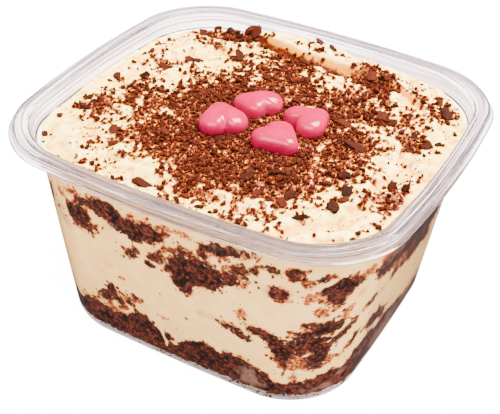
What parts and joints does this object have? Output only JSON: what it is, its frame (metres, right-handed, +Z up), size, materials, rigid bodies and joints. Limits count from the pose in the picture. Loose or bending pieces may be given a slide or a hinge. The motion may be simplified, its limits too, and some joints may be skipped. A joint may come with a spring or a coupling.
{
  "type": "layered cream dessert in a clear tub",
  "caption": "Clear rounded-square tub, open at the top, filled with layers of sponge and cream and topped with small candy hearts.",
  "frame": {"origin": "middle of the tub's foot, on the surface that it stands on", "axes": "+X along the tub's longer side, -Y its front, +Z up out of the tub"},
  "size_m": [0.1138, 0.1046, 0.062],
  "materials": {
    "clear_plastic": "thin clear thermoformed PET, glossy, faintly cool grey at its edges",
    "chocolate_sponge": "dark red-brown chocolate sponge, matt, open crumb",
    "cream": "pale cream cheese filling, smooth, soft sheen, spread with a knife",
    "pink_candy": "pink pearl candy coating, glossy"
  },
  "bodies": {
    "root": {"tub": "clear_plastic", "sponge_base": "chocolate_sponge", "cream_lower": "cream", "sponge_sunk": "chocolate_sponge", "sponge_middle": "chocolate_sponge", "cream_top": "cream", "heart_left": "pink_candy", "heart_back": "pink_candy", "heart_right": "pink_candy", "heart_front": "pink_candy"}
  },
  "joints": []
}
